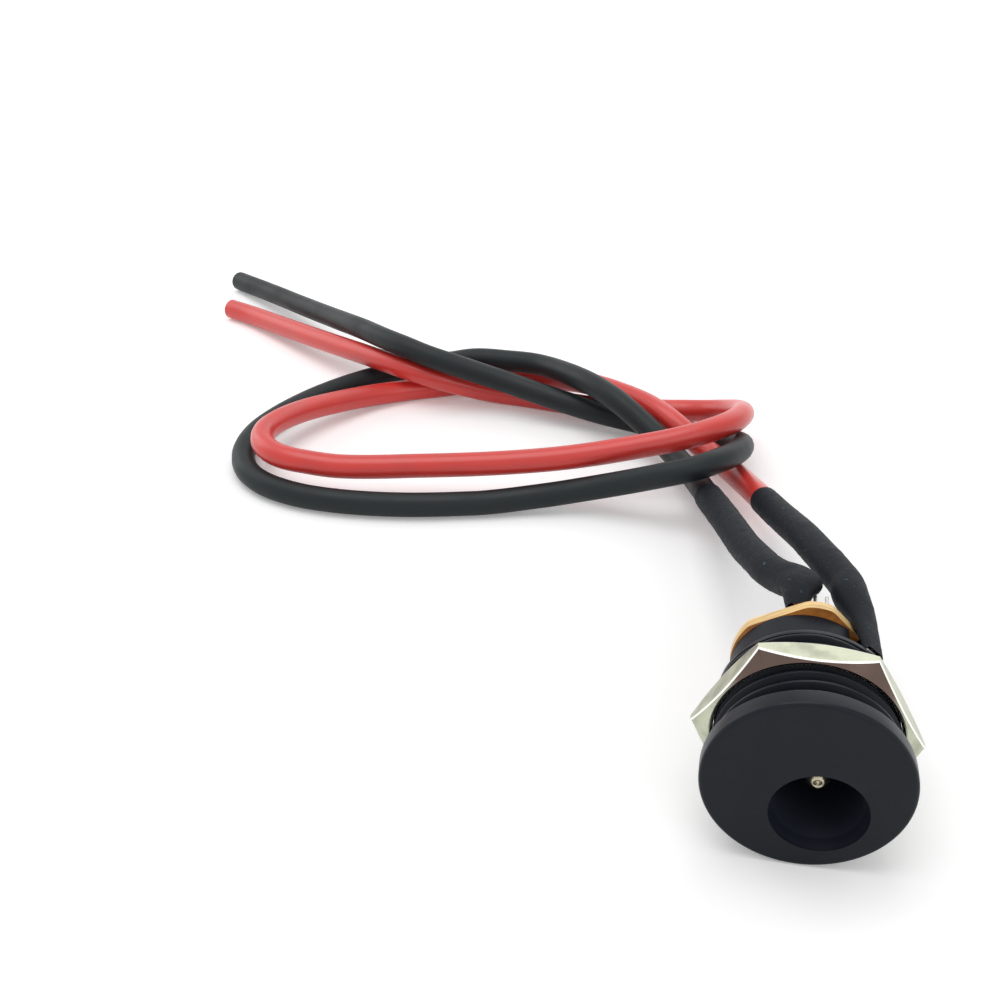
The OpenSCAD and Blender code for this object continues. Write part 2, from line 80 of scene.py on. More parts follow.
# The lamps: name, place, the spot they face and size in metres, and power in watts
LAMPS = (
    ("key", (-0.07, 0.02, 0.38), (-0.02, 0.03, 0), 0.3, 0.64),
    ("fill", (0.22, -0.22, 0.2), (0, 0, 0), 0.2, 0.14),
    ("rim", (0.1, 0.3, 0.22), (-0.01, 0.03, 0), 0.32, 0.2),
    ("side", (-0.34, 0.16, 0.16), (-0.03, 0.04, 0), 0.24, 0.24))

# The strength at which the white world lights the socket, and the middle of what lies on the floor
WORLD_LIGHT = 0.48
FLOOR_CENTRE = (-0.03, 0.04, TABLE_Z)

# The leads as they lie, in millimetres: x, y and the height above a lead that rests on the table
RED_LAY = (
    (2.8, 17.2, 9.2), (1.72, 20.8, 8.55), (0.05, 27.5, 6.7), (-1.75, 35, 4.05), (-3, 39.5, 2.7),
    (-5.6, 46.9, 0.9), (-7.3, 50.2, 0.5), (-8.9, 52, 0.7), (-10.9, 53.3, 1.6), (-13.2, 54.7, 2.6),
    (-15.6, 56.7, 2.95), (-19.1, 59.1, 2.9), (-21.8, 61.1, 2.5), (-24.4, 63.7, 1.45), (-26.5, 65.4, 0.6),
    (-28.7, 66.1, 0.2), (-31.2, 66.1, 0), (-34, 65.2, 0), (-38.6, 62.7, 0), (-43.2, 60.5, 0),
    (-46, 58.4, 0.25), (-48.8, 55.2, 0.8), (-51.2, 51.3, 1.55), (-52.7, 47.6, 2.15), (-53.3, 44.6, 2.4),
    (-52.8, 42.3, 2.45), (-51.7, 40.8, 2.45), (-50.1, 39.8, 2.4), (-48, 39.4, 2.3), (-43.6, 39.4, 2.1),
    (-36.1, 40.6, 2.3), (-28.1, 41.8, 2.8), (-21.2, 43.2, 3.45), (-13.7, 45.5, 4.4), (-10, 47, 4.95),
    (-7.8, 48.6, 5.15), (-6.4, 50.5, 5), (-5.7, 52.8, 4.5), (-5.6, 55.3, 3.6), (-6.3, 57.7, 2.5),
    (-7.5, 59.5, 1.5), (-9.3, 60.7, 0.7), (-11.5, 61.3, 0.2), (-14.6, 61.2, 0), (-20.1, 60.6, 0),
    (-24.4, 60.9, 0.05), (-29.8, 61.8, 0), (-32.9, 61.9, 0.15), (-35.9, 61.3, 0.9), (-39, 60.4, 2),
    (-41.4, 60.4, 2.6), (-43.9, 61.3, 2.8), (-47.9, 63.7, 2.55), (-54.5, 68.4, 1.7), (-60.9, 73.3, 0.75),
    (-66.4, 77.3, 0.1), (-70.3, 79.3, 0))
BLACK_LAY = (
    (-1.9, 17.4, 9.15), (-2.95, 19.4, 8.4), (-4.7, 25.5, 6.38), (-6.5, 33.2, 4.25), (-8.1, 39.8, 2.35),
    (-9.9, 45.8, 1.05), (-11.3, 48.7, 0.85), (-12.8, 50.8, 1.25), (-15, 52.6, 2.35), (-18.1, 54.5, 3.9),
    (-20.5, 56.4, 4.4), (-23.1, 59.1, 4.15), (-26.4, 62.5, 3.4), (-28.8, 64.1, 3), (-31.6, 64.8, 2.75),
    (-35.5, 65.2, 2.5), (-38.8, 65.7, 1.55), (-41.5, 66.2, 0.7), (-43.7, 65.8, 0.25), (-45.9, 64.4, 0.05),
    (-48.9, 61.5, 0), (-52, 57.4, 0), (-54.3, 53.1, 0), (-55.6, 49.3, 0), (-55.9, 46, 0), (-55.4, 43.2, 0),
    (-54.2, 40.7, 0), (-52.3, 38.8, 0), (-49.9, 37.5, 0), (-46.5, 36.6, 0), (-41.7, 36.4, 0),
    (-36.2, 37, 0), (-29.9, 38.5, 0), (-23.7, 40.3, 0.5), (-19.6, 41, 1.3), (-15.3, 40.8, 2.75),
    (-11.8, 40.4, 4.15), (-9.7, 40.9, 4.65), (-8, 42.2, 4.75), (-6.6, 44.3, 4.4), (-5.6, 47.1, 3.65),
    (-5.4, 49.9, 2.75), (-6.2, 52.4, 1.7), (-7.5, 54.4, 0.9), (-9.5, 55.9, 0.25), (-11.9, 56.9, 0),
    (-15.2, 57.5, 0.1), (-20.8, 57.8, 0.9), (-26.5, 58.9, 1.75), (-31.2, 59.8, 2.6), (-36.4, 59.8, 4),
    (-39.9, 60, 4.85), (-42.6, 60.9, 5.3), (-45.4, 62.8, 5.2), (-49.1, 66.4, 4.55), (-54.5, 72.2, 3.05),
    (-60.2, 78, 1.7), (-66.2, 83.4, 0.75), (-72.6, 88.5, 0))

# Lengths of the insulated leads, in metres
RED_LENGTH = 0.232
BLACK_LENGTH = 0.245

# Sleeve sections over the lugs, in millimetres: x, y, z, half width, half height and how round they are
RED_COLLAR = (
    (4, 7.62, 4.5, 0.72, 0.24, 0.5), (3.87, 9.3, 4.38, 0.8, 0.42, 0.7), (3.72, 11.5, 3.98, 0.86, 0.7, 0.9),
    (3.52, 13, 3.78, 1, 0.97, 1), (3.05, 14.9, 3.64, 1.34, 1.2, 1), (2.85, 16, 3.56, 1.42, 1.26, 1))
BLACK_COLLAR = (
    (-1.06, 12.3, 4.2, 0.68, 0.64, 0.7), (-1.08, 13.1, 4.36, 0.84, 0.82, 0.9),
    (-1.06, 13.9, 4.42, 0.97, 0.92, 1), (-0.92, 14.7, 4.54, 1.24, 0.88, 1), (-0.68, 15.5, 4.26, 1.72, 1, 1),
    (-0.95, 16.2, 3.95, 1.66, 1.14, 1), (-1.5, 16.9, 3.64, 1.46, 1.28, 1))

# How many points of its lead a sleeve covers, and its radius there in millimetres
SLEEVE_POINTS = 5
SLEEVE_RADIUS = 1.27

# A sleeve's rings and sides, the passes that even it out, and the rings each way that give its direction
SLEEVE_RINGS = 160
SLEEVE_SIDES = 40
SLEEVE_PASSES = 12
SLEEVE_REACH = 8

# A sleeve's wrinkles and dents: height and size in millimetres, and how much wrinkles change per ring
WRINKLE_HEIGHT = 0.03
DENT_SIZE = 1.1
WRINKLE_CHANGE = 0.45

# The y of the lugs' ends and holes, and the heights of the lugs and of the sprung arm, in millimetres
LUG_END = 14.9
LUG_HOLE = 14.3
SIDE_LUG = 5.4
SWITCH_LUG = 3.7
ARM_LOW = 0.877

# Folds of the sheet contacts from the lug's end inwards, in millimetres: y and the height over the axis
SIDE_FOLDS = (
    (LUG_END, SIDE_LUG), (12, SIDE_LUG), (7.8, 5.95),
    (7.8, ARM_LOW + 2.3), (4.6, ARM_LOW), (3.2, ARM_LOW + 1.2))
SWITCH_FOLDS = ((LUG_END, SWITCH_LUG), (9.5, SWITCH_LUG), (6.1, 0.914))

# Directions away from the barrel's axis, through the side contact and through the other lugs
SIDE_ANGLE = math.radians(49)
SIDE_UP = Vector((math.cos(SIDE_ANGLE), 0, math.sin(SIDE_ANGLE)))
PIN_UP = Vector((0, 0, 1))

# Pockets for the contacts, in millimetres: two corners and a turn round the barrel's axis
POCKETS = (
    ((-0.62, 2.6, 0), (0.62, 7.5, 3.6), math.pi / 2 - SIDE_ANGLE),
    ((-0.62, 7.46, 2.43), (0.62, 11.6, 9), math.pi / 2 - SIDE_ANGLE),
    ((0.08, 5.5, 0.31), (1.42, 11.6, 3.97), 0))

# Outlines of the pin's hollowed tip, its riveted head and the pegs' heads, in millimetres: y and radius
PIN_TIP = (
    (0.26, 0.02), (0.2, 0.12), (0.06, 0.22), (0.01, 0.28), (0, 0.34), (0.01, 0.42), (0.05, 0.5), (0.3, 0.74),
    (0.6, 0.95), (0.85, 1.04), (1, 1.05))
PIN_HEAD = ((0, 1.08), (0.12, 1.06), (0.3, 0.9), (0.44, 0.6))
PEG_HEAD = ((0, 0.8), (0.15, 0.78), (0.3, 0.62))

# Half the angle of one of the nut's flats, and the slope of its corner chamfer
HALF_FLAT = math.radians(30)
NUT_SLOPE = math.radians(30)

# Angles round the barrel's axis of the plate's flats: beside the side lug and at the upper left
PLATE_FLAT_ANGLE = math.radians(45)
PLATE_TOP_ANGLE = math.radians(119)


def length_prop(name, description, default):
    """A length that the user can change, in metres."""
    return bpy.props.FloatProperty(
        name=name, description=description, default=default, min=0.0, precision=5,
        unit="LENGTH", subtype="DISTANCE")


def colour_prop(name, description, default):
    """A colour that the user can change."""
    return bpy.props.FloatVectorProperty(
        name=name, description=description, default=default, min=0.0, max=1.0, size=3, subtype="COLOR")


class SocketSizes(bpy.types.PropertyGroup):
    """Sizes of the socket and its leads."""

    flange_radius: length_prop("Flange radius", "Radius of the front flange", HOUSING_HIGH.x)
    edge_round: length_prop("Flange edge", "Radius on the flange's front edge", 0.3 * MM)
    back_round: length_prop("Flange back edge", "Radius on the flange's back edge", 0.2 * MM)
    thread_radius: length_prop("Thread radius", "Outer radius of the thread", 6.25 * MM)
    thread_root: length_prop("Thread root", "Radius at the root of the thread", 5.65 * MM)
    thread_pitch: length_prop("Thread pitch", "Distance from one turn of the thread to the next", 1 * MM)
    rim_radius: length_prop("Rim radius", "Radius of the plain rim behind the thread", 6.15 * MM)
    thread_end: length_prop("Thread length", "Length of the threaded barrel behind the flange", 7.5 * MM)
    tail_radius: length_prop("Tail radius", "Radius of the plain tail", 5.15 * MM)
    tail_round: length_prop("Tail edge", "Width of the tail's eased rear edge", 0.1 * MM)
    peg_radius: length_prop("Peg radius", "Radius of the pegs that hold the rear plate", 0.5 * MM)
    fit_gap: length_prop("Fit gap", "Clearance round the shank, the pegs and the bare lug", 0.04 * MM)
    socket_radius: length_prop("Socket radius", "Radius of the bore for the plug", 3 * MM)
    mouth_radius: length_prop("Mouth radius", "Radius of the bore's mouth", 3.28 * MM)
    mouth_depth: length_prop("Mouth depth", "Depth of the taper from the mouth to the bore", 1 * MM)
    pin_radius: length_prop("Pin radius", "Radius of the centre pin", 1.05 * MM)
    shank_radius: length_prop("Shank radius", "Radius of the pin's shank", 0.75 * MM)
    nut_bore: length_prop("Nut bore", "Radius of the nut's bore", 6.31 * MM)
    nut_sink: length_prop("Nut countersink", "Depth of the countersinks in the nut's bore", 0.2 * MM)
    nut_chamfer: length_prop("Nut chamfer", "How far inside the flats the corner chamfer starts", 0.2 * MM)
    nut_round: length_prop("Nut edge", "Width of the nut's eased edges", 0.1 * MM)
    plate_radius: length_prop("Plate radius", "Radius of the rear plate", 5.4 * MM)
    plate_flat: length_prop("Plate flat", "Distance from the axis to the flat beside the side lug", 4.65 * MM)
    plate_top_flat: length_prop(
        "Plate top flat", "Distance from the axis to the flat at the upper left", 4.9 * MM)
    plate_blend: length_prop("Plate blend", "How softly the plate's flats run into its rim", 0.07 * MM)
    strip_thickness: length_prop("Strip", "Thickness of the sheet metal contacts", 0.3 * MM)
    fold_radius: length_prop("Fold radius", "Rounding of the folds in the sheet metal contacts", 0.3 * MM)
    side_width: length_prop("Side strip", "Width of the side contact", 1 * MM)
    switch_width: length_prop("Bare lug", "Width of the switch contact", 1.1 * MM)
    hole_radius: length_prop("Lug hole", "Radius of the wire holes in the lugs", 0.35 * MM)
    lug_notch: length_prop("Lug notch", "Width of the notch in the bare lug's end", 0.6 * MM)
    wire_diameter: length_prop("Lead diameter", "Outer diameter of the insulated leads", 2.4 * MM)
    strand_radius: length_prop("Strand radius", "Radius of the strands in the cut ends", 0.1 * MM)
    strand_step: length_prop("Strand step", "Distance from one ring of strands to the next", 0.21 * MM)
    sleeve_wall: length_prop("Sleeve wall", "Wall of the shrunk sleeves", 0.06 * MM)


class SocketColours(bpy.types.PropertyGroup):
    """Colours of the socket's finishes."""

    moulding: colour_prop("Moulding", "Black moulded housing", (0.0034, 0.0058, 0.0102))
    # Painted shade: the black plastic inside the bore, given a bluish tone of its own as it looks in the
    # bore's shade
    bore: colour_prop("Bore", "Inside of the plug bore", (0.028, 0.034, 0.052))
    nickel: colour_prop("Nut plating", "Plated flats of the hex nut", (0.482, 0.5, 0.385))
    # Painted reflection and shade: the dark flange mirrored in the upper part of the nut's end faces
    nut_end_reflection: colour_prop("Nut faces", "Ends of the hex nut, where the plating is thin", (0.13, 0.092, 0.078))
    # Painted highlight on the nut's bevelled edges
    nut_edge_highlight: colour_prop("Nut edges", "Bright edges of the hex nut", (0.97, 0.97, 0.92))
    laminate: colour_prop("Plate face", "Face of the laminate plate", (0.52, 0.19, 0.035))
    laminate_edge: colour_prop("Plate edge", "Cut edge of the laminate plate", (0.88, 0.58, 0.25))
    tin: colour_prop("Contacts", "Tinned sheet contacts", (0.62, 0.60, 0.56))
    pin: colour_prop("Pin", "Plated centre pin", (0.5, 0.45, 0.33))
    red: colour_prop("Red lead", "Insulation of the red lead", (0.65, 0.034, 0.026))
    black: colour_prop("Black lead", "Insulation of the black lead", (0.0098, 0.0145, 0.0162))
    sleeve: colour_prop("Sleeves", "Shrunk sleeves over the joints", (0.0058, 0.0082, 0.0122))
    copper: colour_prop("Strands", "Bare copper strands", (0.72, 0.33, 0.16))
    solder: colour_prop("Solder", "Solder beads", (0.62, 0.63, 0.64))
    floor: colour_prop("Floor", "Pale studio floor", (0.93, 0.93, 0.93))


def sizes():
    """The sizes in use."""
    return bpy.context.scene.socket_sizes


def colours():
    """The colours in use."""
    return bpy.context.scene.socket_colours


# Modelling steps shared by the pieces


def only(obj):
    """Selects one object and makes it active."""
    bpy.ops.object.select_all(action="DESELECT")
    obj.select_set(True)
    bpy.context.view_layer.objects.active = obj


def named(name):
    """Names the object just added and puts its place into its mesh."""
    obj = bpy.context.object
    obj.name = obj.data.name = name
    bpy.ops.object.transform_apply(location=True, rotation=True, scale=True)
    return obj


def face_outwards(obj):
    """Turns all the faces of a piece outwards."""
    only(obj)
    bpy.ops.object.mode_set(mode="EDIT")
    bpy.ops.mesh.select_all(action="SELECT")
    bpy.ops.mesh.normals_make_consistent(inside=False)
    bpy.ops.object.mode_set(mode="OBJECT")


def pick_edges(obj, wanted):
    """Goes to edit mode with only the edges selected whose two ends pass a test."""
    bpy.ops.object.mode_set(mode="EDIT")
    bpy.ops.mesh.select_mode(type="EDGE")
    bpy.ops.mesh.select_all(action="DESELECT")
    bpy.ops.object.mode_set(mode="OBJECT")
    for edge in obj.data.edges:
        edge.select = wanted(*(obj.data.vertices[v].co for v in edge.vertices))
    bpy.ops.object.mode_set(mode="EDIT")


def modify(obj, kind, **settings):
    """Gives a piece a modifier with its settings and applies it."""
    only(obj)
    step = obj.modifiers.new(kind.title(), kind)
    for name, value in settings.items():
        setattr(step, name, value)
    bpy.ops.object.modifier_apply(modifier=step.name)
    if not obj.data.vertices:
        raise RuntimeError(f"{obj.name} has nothing left after {kind}")


def turned(name, profile, sides=96, axis=(0.0, 0.0)):
    """Turns (y, radius) points round an axis along Y: a disc, extruded and scaled from point to point."""
    bpy.ops.object.select_all(action="DESELECT")
    y, radius = profile[0]
    bpy.ops.mesh.primitive_circle_add(
        vertices=sides, radius=radius, fill_type="NGON", location=(axis[0], y, axis[1]),
        rotation=(math.pi / 2, 0, 0))
    obj = named(name)
    bpy.ops.object.mode_set(mode="EDIT")
    bpy.ops.mesh.select_all(action="SELECT")
    for next_y, next_radius in profile[1:]:
        bpy.ops.mesh.extrude_region_move(TRANSFORM_OT_translate={"value": (0, next_y - y, 0)})
        scale = next_radius / radius
        bpy.ops.transform.resize(value=(scale, 1, scale), center_override=(axis[0], next_y, axis[1]))
        y, radius = next_y, next_radius
    bpy.ops.object.mode_set(mode="OBJECT")
    face_outwards(obj)
    return obj


def block(name, low, high, turn=0.0):
    """A box between two corners, turned about the barrel's axis."""
    bpy.ops.object.select_all(action="DESELECT")
    low, high = Vector(low), Vector(high)
    bpy.ops.mesh.primitive_cube_add(size=1, location=(low + high) / 2, scale=high - low)
    obj = named(name)
    obj.data.transform(Matrix.Rotation(turn, 4, "Y"))
    return obj


def combine(target, tool, operation):
    """Joins, cuts or crops a piece with another solid, which is used up."""
    modify(target, "BOOLEAN", operation=operation, solver="EXACT", object=tool)
    bpy.data.objects.remove(tool)


def ease_edges(obj, width, segments=2, angle=35):
    """Rounds the edges that are sharper than an angle."""
    limit = math.radians(angle)
    modify(obj, "BEVEL", width=width, segments=segments, limit_method="ANGLE", angle_limit=limit)


def smooth(obj, angle=35):
    """Shades a piece smooth, apart from its sharp edges."""
    only(obj)
    bpy.ops.object.shade_smooth_by_angle(angle=math.radians(angle))


def placed(obj, node, material, body="jack"):
    """Gives a piece its finish and puts it in place of its solid."""
    obj.data.materials.clear()
    obj.data.materials.append(material)
    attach(obj, body)
    if node:
        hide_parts(node)
    return obj


# Finishes


class Finish:
    """A node material under construction, on Object coordinates."""

    def __init__(self, name, metallic=0.0, roughness=0.5, **sockets):
        self.material = bpy.data.materials.new(name)
        self.material.use_nodes = True
        self.tree = self.material.node_tree
        self.shader = self.tree.nodes["Principled BSDF"]
        self.set(self.shader, "Metallic", metallic)
        self.set(self.shader, "Roughness", roughness)
        for socket, value in sockets.items():
            self.set(self.shader, socket.replace("_", " "), value)
        places = self.tree.nodes.new("ShaderNodeTexCoord").outputs
        self.coords, self.normal = places["Object"], places["Normal"]

    def set(self, node, socket, value):
        """Gives a node's socket a value."""
        node.inputs[socket].default_value = value

    def link(self, source, node, socket):
        """Feeds a node's socket from another's output."""
        self.tree.links.new(source, node.inputs[socket])

    def noise(self, size, detail=3.0, stretch=(1, 1, 1)):
        """Noise whose patches are about as large as size, drawn out along the axes with a small stretch."""
        mapping = self.tree.nodes.new("ShaderNodeMapping")
        mapping.inputs["Scale"].default_value = [share / size for share in stretch]
        self.link(self.coords, mapping, "Vector")
        node = self.tree.nodes.new("ShaderNodeTexNoise")
        self.set(node, "Scale", 1.0)
        self.set(node, "Detail", detail)
        self.link(mapping.outputs["Vector"], node, "Vector")
        return node.outputs["Fac"]

    def ramp(self, source, colour, *stops):
        """A colour made darker or lighter along a value, as (place, factor)."""
        node = self.tree.nodes.new("ShaderNodeValToRGB")
        elements = node.color_ramp.elements
        while len(elements) < len(stops):
            elements.new(0.5)
        for element, (place, factor) in zip(elements, stops):
            element.position = place
            element.color = (*shade(colour, factor), 1.0)
        self.link(source, node, "Fac")
        return node.outputs["Color"]

    def spread(self, source, low, high, from_low=0.3, from_high=0.7):
        """A value spread over a range."""
        node = self.tree.nodes.new("ShaderNodeMapRange")
        ranges = {"From Min": from_low, "From Max": from_high, "To Min": low, "To Max": high}
        for socket, value in ranges.items():
            self.set(node, socket, value)
        self.link(source, node, "Value")
        return node.outputs["Result"]

    def along(self, axis, low, high, source=None):
        """0 to 1 from a low to a high place along an axis, or along an axis of another vector."""
        split = self.tree.nodes.new("ShaderNodeSeparateXYZ")
        self.link(source or self.coords, split, "Vector")
        return self.spread(split.outputs[axis], 0.0, 1.0, low, high)

    def vector(self, operation, source, other=(0, 0, 0), result="Vector"):
        """What a vector operation makes of a source and another vector."""
        node = self.tree.nodes.new("ShaderNodeVectorMath")
        node.operation = operation
        node.inputs[1].default_value = other
        self.tree.links.new(source, node.inputs[0])
        return node.outputs[result]

    def facing_axis(self, low, high):
        """1 where a surface faces along the barrel's axis, either way, and 0 where it faces outwards."""
        return self.along("Y", low, high, self.vector("ABSOLUTE", self.normal))

    def from_axis(self, x, z):
        """The distance from an axis along Y."""
        flat = self.vector("MULTIPLY", self.coords, (1, 0, 1))
        return self.vector("DISTANCE", flat, (x, 0, z), "Value")

    def mix(self, factor, first, second):
        """Two colours mixed by a value."""
        node = self.tree.nodes.new("ShaderNodeMix")
        node.data_type = "RGBA"
        self.link(factor, node, "Factor")
        for socket, colour in (("A", first), ("B", second)):
            target = [entry for entry in node.inputs if entry.name == socket and entry.type == "RGBA"][0]
            if isinstance(colour, bpy.types.NodeSocket):
                self.tree.links.new(colour, target)
            else:
                target.default_value = (*colour, 1.0)
        return [result for result in node.outputs if result.type == "RGBA"][0]

    def bump(self, source, height, strength=1.0, after=None):
        """Surface relief of a height in metres."""
        node = self.tree.nodes.new("ShaderNodeBump")
        self.set(node, "Strength", strength)
        self.set(node, "Distance", height)
        self.link(source, node, "Height")
        if after:
            self.link(after, node, "Normal")
        return node.outputs["Normal"]

    def done(self, colour=None, roughness=None, normal=None):
        """Feeds the shader and gives the finished material."""
        for source, socket in ((colour, "Base Color"), (roughness, "Roughness"), (normal, "Normal")):
            if source:
                self.link(source, self.shader, socket)
        return self.material


def shade(colour, factor):
    """A lighter or darker colour."""
    return tuple(min(1.0, level * factor) for level in colour)


def grey(level):
    """A plain grey, such as a roughness that is mixed as a colour."""
    return (level, level, level)


def moulding_finish():
    """Black moulded plastic: a grained face, a smoother rim and thread, a duller tail, and painted shade in
    the bore: a bluish tone of its own there, darker on the taper of the mouth.
    """
    finish = Finish("moulded_black", Specular_IOR_Level=0.21)
    size, bore = sizes(), colours().bore
    patches = finish.noise(2.4 * MM, 4)
    grain = finish.noise(0.09 * MM, 2)
    reach = finish.from_axis(*SOCKET_AXIS)
    inside = finish.spread(reach, 1.0, 0.0, size.mouth_radius - 0.06 * MM, size.mouth_radius)
    taper = finish.spread(reach, 0.0, 1.0, size.socket_radius - 0.02 * MM, size.socket_radius + 0.04 * MM)
    tail = finish.along("Y", size.thread_end + 0.1 * MM, size.thread_end + 0.2 * MM)
    skin = finish.ramp(patches, colours().moulding, (0.3, 0.85), (0.7, 1.25))
    # Painted shade: inside the bore the black plastic takes the bluish bore tone, half as bright on the taper
    # of the mouth
    painted_bore_shade = finish.mix(taper, bore, shade(bore, 0.5))
    gloss = finish.mix(finish.facing_axis(0.5, 0.9), finish.mix(tail, grey(0.34), grey(0.5)), grey(0.52))
    return finish.done(finish.mix(inside, skin, painted_bore_shade), gloss, finish.bump(grain, 0.012 * MM, 0.6))


def nickel_finish():
    """Plated brass: satin, stained and scratched flats, a painted highlight on the bevelled edges, and end
    faces with painted reflection and shade of the dark flange, brown towards the top.
    """
    finish = Finish("nickel_plate", metallic=1.0)
    stains = finish.noise(1.6 * MM, 5)
    grain = finish.noise(0.12 * MM, 3)
    scratches = finish.noise(0.25 * MM, 2, stretch=(0.12, 1, 1))
    plated = finish.ramp(stains, colours().nickel, (0.32, 0.72), (0.5, 1), (0.7, 1.12))
    # Painted highlight: the bevels between the flats and the ends are near white
    plated_with_edge_highlight = finish.mix(finish.facing_axis(0.15, 0.35), plated, colours().nut_edge_highlight)
    # Painted reflection and shade: the end faces turn brown above 2 to 4.5 mm, where the dark flange mirrors
    # in them
    end = finish.mix(finish.along("Z", 2 * MM, 4.5 * MM), plated, colours().nut_end_reflection)
    turned_face = finish.facing_axis(0.78, 0.85)
    colour = finish.mix(turned_face, plated_with_edge_highlight, end)
    gloss = finish.mix(turned_face, finish.ramp(stains, grey(1), (0.3, 0.26), (0.7, 0.4)), grey(0.2))
    relief = finish.bump(scratches, 0.006 * MM, 0.4, finish.bump(grain, 0.008 * MM, 0.5))
    return finish.done(colour, gloss, relief)


def laminate_finish():
    """Amber laminate: warm mottled faces and a pale, layered cut edge."""
    finish = Finish("amber_laminate")
    mottle = finish.noise(0.9 * MM, 5)
    layers = finish.noise(0.3 * MM, 3, stretch=(0.15, 2.2, 0.15))
    rim = finish.ramp(layers, colours().laminate_edge, (0.3, 0.7), (0.7, 1.2))
    flat = finish.ramp(mottle, colours().laminate, (0.3, 0.75), (0.7, 1.3))
    colour = finish.mix(finish.facing_axis(0.35, 0.75), rim, flat)
    return finish.done(colour, finish.spread(mottle, 0.34, 0.52), finish.bump(layers, 0.02 * MM, 0.35))


def metal_finish(name, colour, low, high, grain_size):
    """Plain metal with a soft grain and patchy lustre, between two roughnesses."""
    finish = Finish(name, metallic=1.0)
    patches = finish.noise(0.8 * MM, 4)
    grain = finish.noise(grain_size, 2)
    mottled = finish.ramp(patches, colour, (0.3, 0.75), (0.7, 1.12))
    return finish.done(mottled, finish.spread(patches, low, high), finish.bump(grain, 0.006 * MM, 0.5))


def insulation_finish(name, colour, low, high, shine, coat):
    """Soft lead insulation: satin and faintly mottled, with a fine uneven skin."""
    finish = Finish(name, Specular_IOR_Level=shine, Coat_Weight=coat, Coat_Roughness=0.28)
    mottle = finish.noise(3 * MM, 2)
    skin = finish.noise(0.3 * MM, 2)
    mottled = finish.ramp(mottle, colour, (0.3, 0.94), (0.7, 1.06))
    return finish.done(mottled, finish.spread(mottle, low, high), finish.bump(skin, 0.006 * MM, 0.4))


def sleeve_finish():
    """Matt shrunk tubing with scuffs and fine wrinkles."""
    finish = Finish("shrunk_tubing", Specular_IOR_Level=0.17)
    scuffs = finish.noise(0.45 * MM, 6)
    wrinkles = finish.noise(0.3 * MM, 4)
    scuffed = finish.ramp(scuffs, colours().sleeve, (0.35, 0.7), (0.62, 1.2), (0.7, 6), (0.75, 14))
    return finish.done(scuffed, finish.spread(scuffs, 0.55, 0.75), finish.bump(wrinkles, 0.04 * MM, 0.6))


def calculate(tree, operation, *values):
    """What a Math node makes of outputs and plain numbers, kept between 0 and 1."""
    node = tree.nodes.new("ShaderNodeMath")
    node.operation, node.use_clamp = operation, True
    for socket, value in zip(node.inputs, values):
        if isinstance(value, bpy.types.NodeSocket):
            tree.links.new(value, socket)
        else:
            socket.default_value = value
    return node.outputs[0]


def background_rays(tree):
    """1 on rays that show the background, straight or in a gloss, and 0 on rays that light the socket."""
    rays = tree.nodes.new("ShaderNodeLightPath").outputs
    seen = calculate(tree, "ADD", rays["Is Camera Ray"], rays["Is Glossy Ray"])
    return calculate(tree, "ADD", seen, rays["Is Transmission Ray"])


def floor_finish():
    """Pale floor: it takes the socket's shadow, and glows to white further off where it is the background."""
    finish = Finish("pale_floor", roughness=0.8, Specular_IOR_Level=0.15, Emission_Color=(1, 1, 1, 1))
    away = finish.vector("DISTANCE", finish.coords, FLOOR_CENTRE, "Value")
    glow = finish.spread(away, 0.2, 0.7, 50 * MM, 160 * MM)
    seen = calculate(finish.tree, "MULTIPLY", glow, background_rays(finish.tree))
    finish.link(seen, finish.shader, "Emission Strength")
    return finish.done(finish.ramp(finish.noise(60 * MM, 2), colours().floor, (0.3, 0.99), (0.7, 1)))


# Leads, sleeves and folded strips


def route(lay):
    """A lead's route in metres, from the end of its insulation on."""
    rest = TABLE_Z + sizes().wire_diameter / 2
    return [Vector((x * MM, y * MM, rest + height * MM)) for x, y, height in lay]


def heading(points, i, reach=1):
    """The direction of a route at one of its points, taken over a reach of points each way."""
    return (points[min(i + reach, len(points) - 1)] - points[max(i - reach, 0)]).normalized()


def lead(name, points, node, material):
    """A lead as one smooth curve through its route, round in section, with its ends closed."""
    radius = sizes().wire_diameter / 2
    bpy.ops.object.select_all(action="DESELECT")
    bpy.ops.curve.primitive_bezier_curve_add()
    obj = bpy.context.object
    obj.name = obj.data.name = name
    curve = obj.data
    curve.dimensions = "3D"
    curve.splines.clear()
    spline = curve.splines.new("BEZIER")
    spline.bezier_points.add(len(points) - 1)
    lowest = TABLE_Z + radius
    for i, (knot, point) in enumerate(zip(spline.bezier_points, points)):
        ahead = heading(points, i)
        back = point - ahead * (point - points[max(i - 1, 0)]).length / 3
        on = point + ahead * (points[min(i + 1, len(points) - 1)] - point).length / 3
        back.z, on.z = max(back.z, lowest), max(on.z, lowest)
        knot.co = point
        knot.handle_left_type = knot.handle_right_type = "FREE"
        knot.handle_left, knot.handle_right = back, on
    curve.resolution_u = curve.render_resolution_u = 8
    curve.bevel_depth = radius
    curve.bevel_resolution = 6
    curve.use_fill_caps = True
    return placed(obj, node, material)


def eased(sections, count, passes):
    """Sections laid at even steps along their path, then evened out with their neighbours."""
    places = [0.0]
    for a, b in zip(sections, sections[1:]):
        places.append(places[-1] + (Vector(b[:3]) - Vector(a[:3])).length)
    rows = []
    for k in range(count):
        place = places[-1] * k / (count - 1)
        i = max(j for j in range(len(places) - 1) if places[j] <= place)
        share = (place - places[i]) / (places[i + 1] - places[i])
        rows.append([a + (b - a) * share for a, b in zip(sections[i], sections[i + 1])])
    for _ in range(passes):
        middle = [[(a + 2 * b + c) / 4 for a, b, c in zip(*three)] for three in zip(rows, rows[1:], rows[2:])]
        rows = [rows[0], *middle, rows[-1]]
    return rows


